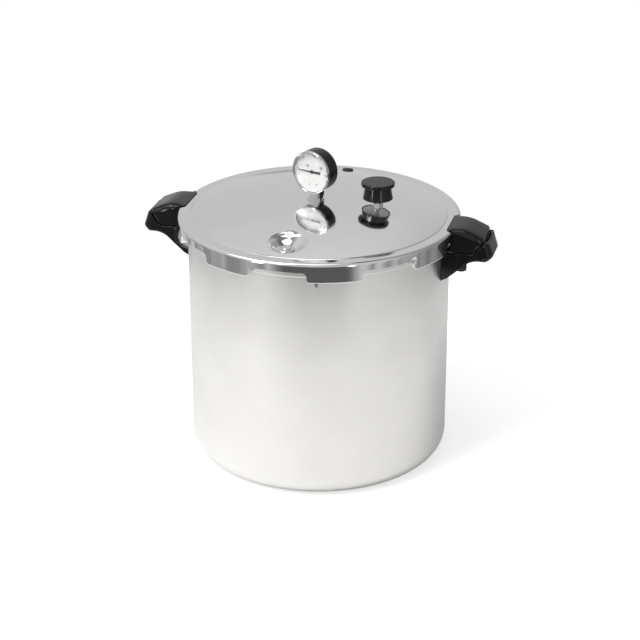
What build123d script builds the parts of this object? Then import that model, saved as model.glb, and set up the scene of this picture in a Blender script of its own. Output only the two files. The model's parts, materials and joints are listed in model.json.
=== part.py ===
from build123d import *
import os
from math import asin, cos, degrees, radians, sin, sqrt

# Pressure canner. Millimetres, +Z up, origin at the centre of the base, handles on +X and -X.

# ---- driving dimensions -------------------------------------------------------------------
# pot
pot_r = 155.5            # outer radius of the straight wall
pot_wall = 3.0
pot_floor = 4.0
pot_corner = 25.0        # outer radius between floor and wall
rim_z = 295.0            # top of the rim
bead_out = 4.5           # how far the thickened rim band stands out of the wall
bead_high = 12.5
bead_edge = 1.2
bead_r = pot_r + bead_out
bead_low = rim_z - bead_high
pot_in_r = pot_r - pot_wall
mark_angle = -76.0       # pressed alignment triangle on the wall
mark_half = 3.6
mark_depth = 0.4
mark_z = rim_z - 27.0

# bayonet closure
lug_count = 8
lug_pitch = 360.0 / lug_count
lug_turn = -2.0          # the lugs' pattern is turned this far off the handles' line
lug_first = lug_pitch / 2 + lug_turn
lug_out = 4.3            # how far a lug stands out of the band
pot_lug_width = 21.5     # degrees
lid_window_width = 23.6  # degrees of open skirt between two lid lugs
window_high = 12.0
window_corner = 5.0
lip_gap = 0.6            # between lid lips and band
lip_play = 0.5           # between lid lips and lugs, upwards
lip_thick = 3.0
pot_lug_r = bead_r + lug_out
lip_r = bead_r + lip_gap
lip_high = bead_low - lip_play
lip_low = lip_high - lip_thick
skirt_low = lip_low + window_high

# lid
ring_high = 4.0          # sealing ring, squeezed
lid_sheet = 3.0
skirt_sheet = 2.5
skirt_gap = 0.9          # between lugs and skirt
lid_shoulder = 4.0
dome_rise = 18.5
crease_in = 14.7         # from the outside of the skirt to the crease
crease_depth = 0.5
crease_wide = 1.1
ring_play = 0.3
skirt_in = pot_lug_r + skirt_gap
lid_r = skirt_in + skirt_sheet
flat_under = rim_z + ring_high
lid_flat_z = flat_under + lid_sheet
lid_top_z = lid_flat_z + dome_rise
crease_r = lid_r - crease_in
dome_r = (crease_r ** 2 + dome_rise ** 2) / (2 * dome_rise)
ring_in_r = pot_in_r - 1.5
stop_dimple_angle = -35.7
stop_dimple_z = skirt_low - 0.3
stop_dimple_r = 4.25
stop_dimple_depth = 1.0

# cover lock in its stamped dimple
lock_in = 28.5           # from the pot's outside to the middle of the lock
lock_angle = -92.4
dish_r = 25.5
cup_r = 17.5
cup_floor_r = 12.0
cup_sink = 1.0           # floor of the cup below the lid's flat edge
lock_hole_r = 6.2
lock_flange_r = 9.5
lock_flange_high = 1.5
lock_body_low = 4.0      # how far the bushing reaches below the cup
lock_nut_high = 3.0
lock_nut_across = 17.0
lock_pin_r = 3.4
lock_pin_play = 0.1
lock_pin_head_r = 5.5
lock_pin_head_high = 1.4
lock_seal_r = 6.5
lock_seal_high = 2.0
lock_washer_high = 1.2
lock_travel = 5.0
lock_r = pot_r - lock_in
cup_floor_z = lid_flat_z - cup_sink
cup_low = cup_floor_z - lid_sheet

# vent pipe and regulator
vent_x = 71.2
vent_hole_r = 5.2
vent_pipe_r = 3.25
vent_bore_r = 1.4
vent_hex = 11.0
vent_hex_high = 3.0
vent_nut_across = 15.0
vent_nut_high = 6.0
vent_top_z = lid_top_z + 14.0
regulator_low = lid_top_z + 4.5
regulator_disc_r = 19.8
regulator_disc_high = 4.6
regulator_skirt_high = 15.8
regulator_skirt_top_r = 15.1
regulator_skirt_low_r = 17.8
regulator_wall = 1.4
regulator_edge = 1.2
flute_count = 12
flute_r = 1.6
weight_up = 0.6          # underside of the weight above the cap's
weight_play = 0.05

# overpressure plug
plug_in = 11.5           # from the pot's outside to the middle of the plug
plug_hole_r = 5.4
plug_head_r = 6.75
plug_head_high = 2.0
plug_y = pot_r - plug_in

# gauge
gauge_z = lid_top_z + 34.7
gauge_turn = 20.4        # degrees that the dial faces away from -Y towards -X
gauge_forward = 7.5      # from the lid's middle to the stem, the way the dial faces
gauge_x = -gauge_forward * sin(radians(gauge_turn))
gauge_y = -gauge_forward * cos(radians(gauge_turn))
gauge_r = 25.2
gauge_front = 11.0
gauge_back = -11.0
case_wall = 0.8
case_front = 7.0
bezel_out = 0.25
bezel_lip = 1.0
bezel_wide = 1.6
bezel_edge = 0.7
bezel_sleeve = 0.8       # bright sleeve inside the case, between dial and lens
lens_thick = 1.4
lens_play = 0.1
dial_front = 5.6
dial_thick = 0.5
bezel_r = gauge_r + bezel_out
case_in_r = gauge_r - case_wall
lens_high = gauge_front - bezel_lip
lens_low = lens_high - lens_thick
stem_hole_r = 5.2
stem_shank_r = 5.0
stem_nut_across = 16.0
stem_nut_high = 6.0
stem_width = 12.0
stem_front = 6.0
stem_split = -0.4        # bright stem in front of this, dark neck of the case behind
neck_back = -10.5
flange_r = 9.4
flange_top_z = lid_top_z + 2.2
socket_half = 4.0
socket_deep = 3.6
socket_top = -15.5
movement_sheet = 1.2
gear_module = 0.4
gear_thick = 1.2
pinion_teeth = 12
sector_full_teeth = 72
sector_teeth = 10
sector_place = -60.0     # direction from pinion to sector pivot
arbor_r = 0.8
pivot_r = 0.9
pivot_play = 0.05
needle_tip = 20.0
needle_tail = 11.0
bourdon_r = 17.5
bourdon_half_wide = 2.6
bourdon_half_thick = 1.1
bourdon_z = -6.7
bourdon_gap_start = 166.0   # the open part of the tube's turn, from its closed end
bourdon_gap_end = 262.0

# handles
handle_half = 26.5
handle_wall = 3.0
handle_edge = 1.5
handle_corner = 10.0     # rounding of the outer end, seen from above
top_edge = 2.5           # rounding along the lid handle's top
seam_drop = 3.0          # from the lid's lugs down to the seam
seam_out = 22.3          # from the skirt out to where the seam starts to climb
seam_slope = 1.15
seam_gap = 0.7
plate_thick = 4.5
top_in = 9.5             # lid handle's top: inner end, highest point, outer end and side, from the skirt
top_in_up = 1.3
top_peak = 10.5
top_peak_up = 2.9
top_end = 33.5
top_end_drop = 7.4
top_side = 37.0
top_side_drop = 20.0
top_bend = 40.0
top_end_bend = 3.0
under_inset = 3.0        # body handle's underside: distances from wall or skirt, heights from the seam
under_toe_drop = 37.0
under_heel = 5.0
under_heel_drop = 33.0
under_grip_in = 20.1
under_grip_out = 40.5
under_grip_drop = 9.1
under_end = 46.3
under_end_drop = 4.0
under_lip = 39.7
under_lip_up = 12.3
under_heel_bend = 12.0
under_grip_bend = 40.0
under_end_bend = 4.0
foot_drop = 29.0         # upper edge of the body handle's foot, from wall to bracket
foot_mid_in = 3.0
foot_mid_drop = 24.6
foot_out_in = 2.0
foot_out_drop = 21.0
foot_end_drop = 15.0
boss_drop = 31.5
cheek_thick = 1.7        # closed side of the body handle beside the bracket
hidden = 1.0             # overlap of shapes joined into one piece
bracket_half = handle_half - 1.5
bracket_end_half = handle_half - 6.5
bracket_sheet = 2.0
bracket_out = 4.3        # how far the bracket reaches beyond the skirt
bracket_web_out = 5.5    # cross web outside the wall
tab_thick = 2.5
tab_half = 8.0
tab_end = 7.5
tab_edge = 4.0
boss_r = 6.5
rib_thick = 2.5
screw_r = 2.0
screw_play = 0.15
screw_head_r = 4.0
screw_head_high = 2.6
screw_sink = 4.0         # screw head up inside the boss
nut_across = 7.0
nut_high = 3.2
lid_tab_up = 8.0         # lid bracket's tab above the seam
lid_tab_half = 12.0
lid_boss_r = 5.0
lid_screw_out = 14.3
seam_z = lip_low - seam_drop
seam_r = lid_r + seam_out
bracket_reach = lid_r + bracket_out
bracket_web_x = pot_r + bracket_web_out
bracket_high = seam_z - 2.0
boss_x = bracket_reach + 0.5
tab_z = seam_z - 18.0
boss_low = seam_z - boss_drop
lid_tab_z = seam_z + lid_tab_up
lid_screw_x = lid_r + lid_screw_out
lid_handle_end = lid_r + top_side - 1.0
body_handle_end = lid_r + under_end

# keeper inside the pot
keeper_half = 12.0
keeper_high = rim_z - 14.0
keeper_low = rim_z - 27.0
keeper_sheet = 1.6
keeper_in_r = lock_r + 11.0

# rack
rack_out = 6.5           # between the rack's edge and the wall
rack_sheet = 1.5
rack_ring_in = 17.0
rack_rise = 12.0         # top of the rack above the pot's floor
rack_edge_high = 3.0
rack_hole_r = 5.0
rack_rows = ((0.30, 6), (0.56, 10), (0.78, 14))   # share of the rack's radius, holes
rack_centre_r = 14.0
rack_r = pot_in_r - rack_out
rack_top_z = pot_floor + rack_rise
rack_ring_r = rack_r - rack_ring_in

seat = 0.3               # gap left where curved faces of two moving pieces meet
BASE = (Align.CENTER, Align.CENTER, Align.MIN)
FAR = 2 * (lid_r + rim_z)   # longer than anything here, for cutting


# ---- helpers ------------------------------------------------------------------------------
def disc(r, low, high, x=0.0, y=0.0):
    """Upright cylinder between two heights."""
    return Pos(x, y, low) * Cylinder(r, high - low, align=BASE)


def tube(r_in, r_out, low, high, x=0.0, y=0.0):
    """Upright ring between two heights."""
    return disc(r_out, low, high, x, y) - disc(r_in, low - 1, high + 1, x, y)


def block(x0, x1, y0, y1, z0, z1):
    """Box between two corners."""
    middle = Pos((x0 + x1) / 2, (y0 + y1) / 2, (z0 + z1) / 2)
    return middle * Box(x1 - x0, y1 - y0, z1 - z0)


def turned(points):
    """Solid of revolution about Z from (radius, height) points."""
    return revolve(Plane.XZ * make_face(Polyline(*points, close=True)), Axis.Z)


def ring_part(r_in, r_out, low, high, width, middle):
    """Part of a ring, width degrees wide about the angle middle."""
    face = Plane.XZ * Pos((r_in + r_out) / 2, (low + high) / 2) * Rectangle(r_out - r_in, high - low)
    return Rot(0, 0, middle - width / 2) * revolve(face, Axis.Z, revolution_arc=width)


def slab(face_points, half):
    """Prism across Y from an outline of (x, z) points."""
    face = Plane.XZ * make_face(Polyline(*face_points, close=True))
    return extrude(face, amount=half, both=True)


def slab_of(wire, half):
    """Prism across Y from a closed outline of edges drawn in (x, z)."""
    return extrude(Plane.XZ * make_face(wire), amount=half, both=True)


def slab_between(start, end):
    """Wedge about Z between two angles less than half a turn apart."""
    ends = [(FAR * cos(radians(a)), FAR * sin(radians(a))) for a in (start, end)]
    return extrude(make_face(Polyline((0, 0), *ends, close=True)), amount=FAR, both=True)


def end_plan(end):
    """Upright prism whose outer end is rounded at the handle's corners."""
    plan = Pos(end / 2, 0) * Rectangle(end, 2 * handle_half)
    plan = fillet(plan.vertices().group_by(Axis.X)[-1], handle_corner)
    return extrude(plan, amount=2 * rim_z)


def screw(x, under_head, length):
    """Pan-head screw pointing up, its head below under_head."""
    head = disc(screw_head_r, under_head - screw_head_high, under_head, x)
    head = chamfer(head.edges().group_by(Axis.Z)[0], 1.2)
    slot = block(x - screw_head_r, x + screw_head_r, -0.5, 0.5, under_head - 4, under_head - screw_head_high + 0.9)
    return head - slot + disc(screw_r, under_head, under_head + length, x)


def dome_z(r, drop=0.0):
    """Height of the lid's domed top at a radius, or of the surface parallel to it below."""
    return lid_top_z - dome_r + sqrt((dome_r - drop) ** 2 - r * r)


def both_sides(shape):
    """A piece made on the +X side, and the same piece turned to the -X side."""
    return shape, Rot(0, 0, 180) * shape


def hexagon(across, low, high, x=0.0, y=0.0):
    """Upright hexagonal prism."""
    outline = RegularPolygon(across / sqrt(3), 6)
    return extrude(Pos(x, y, low) * outline, amount=high - low)


def write(name, *shapes):
    """One STEP file for one node. Several shapes stay separate solids in it."""
    solids = [s for shape in shapes for s in shape.solids()]
    whole = solids[0] if len(solids) == 1 else Compound(children=solids)
    whole.label = name
    export_step(whole, f"parts/{name}.step")


os.makedirs("parts", exist_ok=True)

# ---- pot ----------------------------------------------------------------------------------
outside = disc(pot_r, 0, rim_z)
outside = fillet(outside.edges().sort_by(Axis.Z)[0], pot_corner)
bead = disc(bead_r, bead_low, rim_z)
bead = chamfer(bead.edges().filter_by(GeomType.CIRCLE), bead_edge)
pot = outside + bead
for i in range(lug_count):
    pot += ring_part(pot_r, pot_lug_r, bead_low, rim_z - 2 * bead_edge, pot_lug_width, lug_first + i * lug_pitch)
inside = disc(pot_in_r, pot_floor, rim_z + 1)
inside = fillet(inside.edges().sort_by(Axis.Z)[0], pot_corner - pot_wall)
pot -= inside
mark = make_face(Polyline((-mark_half, mark_half), (mark_half, mark_half), (0, -mark_half), close=True))
mark_plane = Plane(
    origin=(pot_r * cos(radians(mark_angle)), pot_r * sin(radians(mark_angle)), mark_z),
    x_dir=(-sin(radians(mark_angle)), cos(radians(mark_angle)), 0),
    z_dir=(cos(radians(mark_angle)), sin(radians(mark_angle)), 0),
)
pot -= extrude(mark_plane * mark, amount=mark_depth, both=True)

# ---- bracket of a body handle, made on the +X side -------------------------------------------
# Outline of the set-back: above it the bracket shows, below it the handle's foot runs to the wall.
foot_top = (
    (pot_r - 4, seam_z - foot_drop), (lid_r - foot_mid_in, seam_z - foot_mid_drop),
    (bracket_reach - foot_out_in, seam_z - foot_out_drop), (bracket_reach + seat, seam_z - foot_end_drop),
)


def above_foot(lift):
    """Everything above and inside the curved edge where the handle's side ends."""
    low = [(x, z + lift) for x, z in foot_top]
    return slab((*low, (low[-1][0] - lift, 2 * rim_z), (low[0][0], 2 * rim_z)), FAR)


def splayed(half_in, half_out, x_in, x_out):
    """Upright prism, narrower at its outer end."""
    outline = Polyline((x_in, -half_in), (x_out, -half_out), (x_out, half_out), (x_in, half_in), close=True)
    return Pos(0, 0, seam_z - under_toe_drop) * extrude(make_face(outline), amount=bracket_high - seam_z + under_toe_drop)


bracket = splayed(bracket_half + 1, bracket_end_half, pot_r - 8, bracket_reach)
hollow = splayed(bracket_half + 1 - bracket_sheet, bracket_end_half - bracket_sheet, pot_r - 8, bracket_reach)
bracket -= hollow
bracket += hollow & block(bracket_web_x, bracket_web_x + bracket_sheet, -FAR, FAR, 0, rim_z)
bracket &= above_foot(seat)
wall_flange = 2 * degrees(asin((bracket_half - 1) / pot_r))
bracket += ring_part(pot_r, pot_r + bracket_sheet, tab_z, bracket_high, wall_flange, 0)
tab = block(bracket_web_x, boss_x + tab_end, -tab_half, tab_half, tab_z, tab_z + tab_thick)
tab = fillet(tab.edges().filter_by(Axis.Z).group_by(Axis.X)[-1], tab_edge)
bracket += tab
bracket -= disc(pot_r, 0, rim_z)
bracket -= disc(screw_r + screw_play, tab_z - 1, tab_z + tab_thick + 1, boss_x)

# ---- body handle ----------------------------------------------------------------------------
under = FilletPolyline(
    (pot_r - under_inset, seam_z - under_toe_drop), (pot_r + under_heel, seam_z - under_heel_drop),
    (lid_r + under_grip_in, seam_z - under_grip_drop), (lid_r + under_grip_out, seam_z - under_grip_drop),
    (body_handle_end, seam_z - under_end_drop), (lid_r + under_lip, seam_z + under_lip_up),
    radius=[under_heel_bend, under_grip_bend, under_end_bend, under_end_bend],
)
outline = under + Polyline(under @ 1, (pot_r - under_inset, seam_z + under_lip_up), under @ 0)
handle = slab_of(outline, handle_half)
handle = chamfer(handle.faces().filter_by(Axis.Y).edges().filter_by_position(Axis.X, lid_r, FAR), handle_edge)
handle &= end_plan(body_handle_end)
handle -= block(
    pot_r + handle_wall + 1.5, body_handle_end - 2.5 * handle_wall, -handle_half + handle_wall,
    handle_half - handle_wall, 0, seam_z - seam_gap - handle_wall,
)
handle += block(
    boss_x + 1, boss_x + 1 + rib_thick, -handle_half + 1.5, handle_half - 1.5, tab_z - 2.5, seam_z - seam_gap
)
boss = disc(boss_r, boss_low, tab_z, boss_x)
handle += chamfer(boss.edges().group_by(Axis.Z)[0], 1.2)
slot_high = tab_z + tab_thick + 9
handle -= block(bracket_web_x, boss_x + tab_end + 0.5, -tab_half - seat, tab_half + seat, tab_z, slot_high)
open_side = above_foot(0) & block(0, FAR, cheek_thick - handle_half, FAR, 0, 2 * rim_z)
handle -= open_side - disc(boss_r + 0.01, 0, tab_z, boss_x)
handle -= disc(pot_r, 0, rim_z)
cone_low = seam_z - seam_gap
cone_high = lid_flat_z + 10
handle -= Pos(0, 0, cone_low) * Cone(
    seam_r + seam_gap, seam_r + seam_gap + (cone_high - cone_low) * seam_slope, cone_high - cone_low, align=BASE
)
handle -= disc(screw_r + screw_play, boss_low - 1, tab_z + 1, boss_x)
handle -= disc(screw_head_r + 0.4, boss_low - 1, boss_low + screw_sink, boss_x)
body_screw = screw(boss_x, boss_low + screw_sink, tab_z + tab_thick + nut_high + 2 - boss_low - screw_sink)
body_nut = hexagon(nut_across, tab_z + tab_thick, tab_z + tab_thick + nut_high, boss_x)
body_nut -= disc(screw_r, 0, rim_z, boss_x)

# ---- lid shell ------------------------------------------------------------------------------
arc_mid = crease_r / 2
crease_top = crease_r - crease_wide
top_line = ThreePointArc((0, lid_top_z), (arc_mid, dome_z(arc_mid)), (crease_top, dome_z(crease_top)))
crease = Polyline(
    (crease_top, dome_z(crease_top)), (crease_r, lid_flat_z - crease_depth), (crease_r + crease_wide, lid_flat_z),
    (lid_r - lid_shoulder, lid_flat_z),
)
shoulder_in = lid_shoulder * (1 - cos(radians(45)))
shoulder = ThreePointArc(
    (lid_r - lid_shoulder, lid_flat_z), (lid_r - shoulder_in, lid_flat_z - shoulder_in),
    (lid_r, lid_flat_z - lid_shoulder),
)
inner = Polyline(
    (lid_r, lid_flat_z - lid_shoulder), (lid_r, lip_low), (lip_r, lip_low), (lip_r, lip_high),
    (skirt_in, lip_high), (skirt_in, flat_under), (ring_in_r, flat_under), (ring_in_r, dome_z(ring_in_r, lid_sheet)),
)
under_line = ThreePointArc(
    (ring_in_r, dome_z(ring_in_r, lid_sheet)), (arc_mid, dome_z(arc_mid, lid_sheet)), (0, lid_top_z - lid_sheet)
)
axis_line = Line((0, lid_top_z - lid_sheet), (0, lid_top_z))
lid = revolve(Plane.XZ * make_face(top_line + crease + shoulder + inner + under_line + axis_line), Axis.Z)
window_half = lid_r * sin(radians(lid_window_width / 2))
window_outline = Pos(0, skirt_low - window_high) * Rectangle(2 * window_half, 2 * window_high)
window_outline = fillet(window_outline.vertices().group_by(Axis.Y)[-1], window_corner)
window = Pos(lip_r - 15, 0, 0) * extrude(Plane.YZ * window_outline, amount=30)
for i in range(lug_count):
    lid -= Rot(0, 0, lug_first + (i + 0.5) * lug_pitch) * window
ball_r = (stop_dimple_r ** 2 + stop_dimple_depth ** 2) / (2 * stop_dimple_depth)
ball_at = Pos(lid_r + ball_r - stop_dimple_depth, 0, stop_dimple_z)
for turn in (0, 180):
    lid -= Rot(0, 0, stop_dimple_angle + turn) * ball_at * Sphere(ball_r)

lock_x = lock_r * cos(radians(lock_angle))
lock_y = lock_r * sin(radians(lock_angle))
dish_z = dome_z(lock_r)
dish_top = dish_z + 6
pad_r = dish_r + 1.5
pressed = turned((
    (0, cup_low), (cup_floor_r + 1.5, cup_low), (cup_r + 2.5, cup_low + 4), (pad_r, dish_z - 4.5),
    (pad_r, dish_top), (0, dish_top),
))
carved = turned((
    (0, cup_floor_z), (cup_floor_r, cup_floor_z), (cup_r - 1, cup_floor_z + 2.6), (cup_r + 1.2, dish_z - 2.0),
    (dish_r - 2.5, dish_z + 0.4), (dish_r, dish_z + 4), (dish_r, dish_top), (0, dish_top),
))
lid += Pos(lock_x, lock_y, 0) * pressed & Pos(0, 0, lid_top_z - dome_r) * Sphere(dome_r - hidden)
lid -= Pos(lock_x, lock_y, 0) * carved
lid -= disc(lock_hole_r, 0, 2 * rim_z, lock_x, lock_y)
lid -= disc(stem_hole_r, 0, 2 * rim_z, gauge_x, gauge_y)
lid -= disc(vent_hole_r, 0, 2 * rim_z, vent_x)

# ---- overpressure plug, square to the sloping lid --------------------------------------------
plug_tilt = degrees(asin(plug_y / dome_r))
plug_place = Pos(0, plug_y, dome_z(plug_y)) * Rot(-plug_tilt, 0, 0)
lid -= plug_place * Pos(0, 0, -10) * Cylinder(plug_hole_r, 30, align=BASE)
plug_shank_r = plug_hole_r - 0.05
plug = turned((
    (0, 1.2), (2.6, 1.2), (3.2, plug_head_high), (plug_head_r - 1, plug_head_high), (plug_head_r, plug_head_high - 0.9),
    (plug_head_r, 0.15), (plug_shank_r, 0.15), (plug_shank_r, -lid_sheet - 0.1),
    (plug_head_r, -lid_sheet - 0.1), (plug_head_r - 1.2, -lid_sheet - 3), (0, -lid_sheet - 3),
))
plug = plug_place * plug

# ---- sealing ring ----------------------------------------------------------------------------
sealing_ring = tube(ring_in_r, skirt_in - ring_play, rim_z, flat_under)
sealing_ring = chamfer(sealing_ring.edges().group_by(Axis.Z)[0], 0.6)

# ---- lid handle, bracket and screw, made on the +X side ---------------------------------------
def top_slab(inwards, drop, half):
    """Everything under the handle's sloping top, drawn in by inwards and lowered by drop."""
    out = lid_r - inwards
    flat = lid_flat_z - drop
    line = FilletPolyline(
        (lid_r - top_in, flat + top_in_up), (out + top_peak, flat + top_peak_up), (out + top_end, flat - top_end_drop),
        (out + top_side, flat - top_side_drop), radius=[top_bend, top_end_bend],
    )
    rest = Polyline(line @ 1, (out + top_side, seam_z - hidden), (lid_r - top_in, seam_z - hidden), line @ 0)
    return slab_of(line + rest, half)


lid_handle = top_slab(0, 0, handle_half)
top_rim = lid_handle.faces().filter_by(Axis.Y).edges().filter_by_position(Axis.Z, lid_flat_z - 7, FAR)
lid_handle = chamfer(top_rim, top_edge)
lid_handle &= end_plan(lid_handle_end)
below = top_slab(1.5, plate_thick, FAR)
core_half = handle_half - handle_wall
lid_handle -= below & block(0, lid_handle_end - 10, -core_half, core_half, 0, FAR)
lid_handle += disc(lid_boss_r, lid_tab_z + bracket_sheet, lid_flat_z - plate_thick + hidden, lid_screw_x)
lid_handle &= Pos(0, 0, seam_z) * Cone(seam_r, seam_r + seam_r * seam_slope, seam_r, align=BASE)
lid_handle -= disc(lid_r, skirt_low - seat, lid_flat_z)
lid_handle -= disc(skirt_in, 0, skirt_low)
lid_handle -= disc(screw_r, 0, lid_flat_z - plate_thick, lid_screw_x)
leg_width = 2 * degrees(asin(lid_tab_half / lid_r))
lid_bracket = ring_part(lid_r, lid_r + bracket_sheet, lid_tab_z, lid_flat_z - lid_shoulder, leg_width, 0)
lid_tab = block(lid_r - 2, lid_screw_x + tab_end, -lid_tab_half, lid_tab_half, lid_tab_z, lid_tab_z + bracket_sheet)
lid_tab = fillet(lid_tab.edges().filter_by(Axis.Z).group_by(Axis.X)[-1], tab_edge)
lid_bracket += lid_tab
lid_bracket -= disc(lid_r, 0, 2 * rim_z)
lid_bracket -= disc(screw_r + screw_play, 0, lid_tab_z + lid_tab_half, lid_screw_x)
lid_screw = screw(lid_screw_x, lid_tab_z, lid_flat_z - plate_thick - lid_tab_z - 0.5)

# ---- vent pipe, nut and regulator ---------------------------------------------------------------
lid_outside = Pos(0, 0, lid_top_z - dome_r) * Sphere(dome_r)
lid_inside = Pos(0, 0, lid_top_z - dome_r) * Sphere(dome_r - lid_sheet)
vent_seat = dome_z(vent_x)
vent_under = dome_z(vent_x, lid_sheet)
shank_r = vent_hole_r - 0.2
vent_pipe = hexagon(vent_hex, vent_seat - 2, vent_seat + vent_hex_high, vent_x) - lid_outside
vent_pipe += disc(vent_pipe_r, vent_seat, vent_top_z, vent_x)
vent_pipe += disc(shank_r, vent_under - 8, vent_seat + hidden, vent_x)
vent_pipe -= disc(vent_bore_r, 0, FAR, vent_x)
vent_nut = hexagon(vent_nut_across, vent_under - vent_nut_high, vent_under + hidden, vent_x)
vent_nut -= disc(shank_r, 0, FAR, vent_x)
vent_nut &= lid_inside

disc_low = regulator_low + regulator_skirt_high
regulator_high = disc_low + regulator_disc_high
weight_r = regulator_skirt_top_r - regulator_wall
cap = turned((
    (0, regulator_high), (regulator_disc_r - regulator_edge, regulator_high),
    (regulator_disc_r, regulator_high - regulator_edge), (regulator_disc_r, disc_low + 0.5),
    (regulator_disc_r - 0.5, disc_low), (regulator_skirt_top_r, disc_low),
    (regulator_skirt_low_r, regulator_low + 0.6), (regulator_skirt_low_r - 0.5, regulator_low),
    (regulator_skirt_low_r - regulator_wall, regulator_low), (weight_r, disc_low), (0, disc_low),
))
flute = Pos(regulator_skirt_low_r + 0.9, 0, regulator_low - 1)
flute *= Cylinder(flute_r, regulator_skirt_high - 2, align=BASE)
for i in range(flute_count):
    cap -= Rot(0, 0, (i + 0.5) * 360 / flute_count) * flute
cap = Pos(vent_x, 0, 0) * cap
weight_low = regulator_low + weight_up
weight_low_r = weight_r + (regulator_skirt_low_r - regulator_skirt_top_r) * (1 - weight_up / regulator_skirt_high)
weight = turned((
    (vent_pipe_r + seat, weight_low), (weight_low_r - weight_play, weight_low), (weight_r - weight_play, disc_low),
    (0, disc_low), (0, vent_top_z), (vent_pipe_r + seat, vent_top_z),
))
weight = Pos(vent_x, 0, 0) * weight

# ---- cover lock: bushing and nut on the lid, pin and seal that rise -------------------------------
bush_top = cup_floor_z + lock_flange_high
bush_low = cup_low - lock_body_low
bush_r = lock_hole_r - 0.05
bore_r = lock_pin_r + lock_pin_play
bushing = turned((
    (bore_r, bush_low), (bush_r, bush_low), (bush_r, cup_floor_z), (lock_flange_r, cup_floor_z),
    (lock_flange_r, bush_top - 0.4), (lock_flange_r - 0.4, bush_top), (bore_r, bush_top),
))
lock_nut = hexagon(lock_nut_across, cup_low - lock_nut_high, cup_low) - disc(bush_r, 0, FAR)
seal_top = bush_low - lock_travel
seal_low = seal_top - lock_seal_high
pin_low = seal_low - lock_washer_high
pin_neck_r = lock_pin_r - 1.0
head_top = bush_top + lock_pin_head_high
pin = turned((
    (0, pin_low), (lock_seal_r - 1.5, pin_low), (lock_seal_r - 1.5, seal_low), (pin_neck_r, seal_low),
    (pin_neck_r, seal_top), (lock_pin_r, seal_top), (lock_pin_r, bush_top), (lock_pin_head_r, bush_top),
    (lock_pin_head_r, head_top - 0.5), (lock_pin_head_r - 0.5, head_top), (0, head_top),
))
lock_seal = tube(pin_neck_r, lock_seal_r, seal_low, seal_top)
lock_place = Pos(lock_x, lock_y, 0)

# ---- keeper inside the pot --------------------------------------------------------------------------
keeper_width = 2 * degrees(asin(keeper_half / pot_in_r))
keeper = ring_part(pot_in_r - keeper_sheet, pot_in_r, keeper_low, keeper_high, keeper_width, lock_angle)
keeper += ring_part(keeper_in_r, pot_in_r, keeper_high - keeper_sheet, keeper_high, keeper_width, lock_angle)

# ---- rack ---------------------------------------------------------------------------------------------
rack = disc(rack_r, rack_top_z - rack_sheet, rack_top_z)
rack += tube(rack_ring_r - rack_sheet, rack_ring_r, pot_floor, rack_top_z - rack_sheet)
rack += tube(rack_r - rack_sheet, rack_r, rack_top_z, rack_top_z + rack_edge_high)
rack -= disc(rack_centre_r, 0, rim_z)
for row_share, count in rack_rows:
    for i in range(count):
        turn = radians(360 * i / count)
        rack -= disc(rack_hole_r, 0, rim_z, row_share * rack_r * cos(turn), row_share * rack_r * sin(turn))

# ---- gauge, made facing +Z with its 12 o'clock on +Y, then stood on the lid ---------------------------
gauge_place = Plane(
    origin=(gauge_x, gauge_y, gauge_z),
    x_dir=(cos(radians(gauge_turn)), -sin(radians(gauge_turn)), 0),
    z_dir=(-sin(radians(gauge_turn)), -cos(radians(gauge_turn)), 0),
).location
case = disc(gauge_r, gauge_back, case_front)
case = fillet(case.edges().group_by(Axis.Z)[0], 1.5)
neck_low = flange_top_z - gauge_z
neck = block(-stem_width / 2, stem_width / 2, neck_low, -gauge_r + 4, neck_back, stem_split)
case += neck
case -= disc(case_in_r, gauge_back + case_wall, case_front + 1)
case -= block(-socket_half, socket_half, neck_low - 1, -gauge_r + 6, stem_split - socket_deep, stem_split)
stem = block(-stem_width / 2, stem_width / 2, neck_low, -gauge_r + 3, stem_split, stem_front)
stem = chamfer(stem.edges().filter_by(Axis.Y).group_by(Axis.Z)[-1], 2.2)
stem -= disc(gauge_r, -30, 30)
stem -= disc(bezel_r, case_front, 30)
stem += block(-socket_half, socket_half, neck_low, socket_top, stem_split - socket_deep, stem_split)
stem = gauge_place * stem
stem += disc(flange_r, lid_top_z - 1, flange_top_z, gauge_x, gauge_y) - lid_outside
stem_low = lid_top_z - 14
stem += disc(stem_shank_r, stem_low, flange_top_z, gauge_x, gauge_y)
stem -= disc(vent_bore_r, stem_low - 1, lid_top_z - 2, gauge_x, gauge_y)
stem_nut_top = lid_top_z - lid_sheet
stem_nut = hexagon(stem_nut_across, stem_nut_top - stem_nut_high, stem_nut_top, gauge_x, gauge_y)
stem_nut -= disc(stem_shank_r, 0, FAR, gauge_x, gauge_y)
stem_nut &= lid_inside

sleeve_in_r = case_in_r - bezel_sleeve
bezel = turned((
    (sleeve_in_r, dial_front), (case_in_r, dial_front), (case_in_r, case_front), (bezel_r, case_front),
    (bezel_r, gauge_front - bezel_edge), (bezel_r - bezel_edge, gauge_front), (bezel_r - bezel_wide, gauge_front),
    (bezel_r - bezel_wide, lens_high), (case_in_r, lens_high), (case_in_r, lens_low), (sleeve_in_r, lens_low),
))
lens = disc(case_in_r - lens_play, lens_low, lens_high)
dial = disc(case_in_r - lens_play, dial_front - dial_thick, dial_front) - disc(arbor_r + 0.5, 0, 20)
plate_front = stem_split + movement_sheet
sector_c = gear_module * (pinion_teeth + sector_full_teeth) / 2
pivot_x = sector_c * cos(radians(sector_place))
pivot_y = sector_c * sin(radians(sector_place))
movement = block(-9, 14, -19, 9, plate_front - movement_sheet, plate_front)
movement = fillet(movement.edges().filter_by(Axis.Z), 2.5)
movement += block(-socket_half, socket_half, socket_top - 5, socket_top, plate_front - movement_sheet, plate_front)
post_at = ((-6.5, 6.5), (12.0, 6.5))
for px, py in post_at:
    movement += disc(1.6, plate_front, dial_front - dial_thick, px, py)
    dial -= disc(0.9, 0, 20, px, py)
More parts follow.
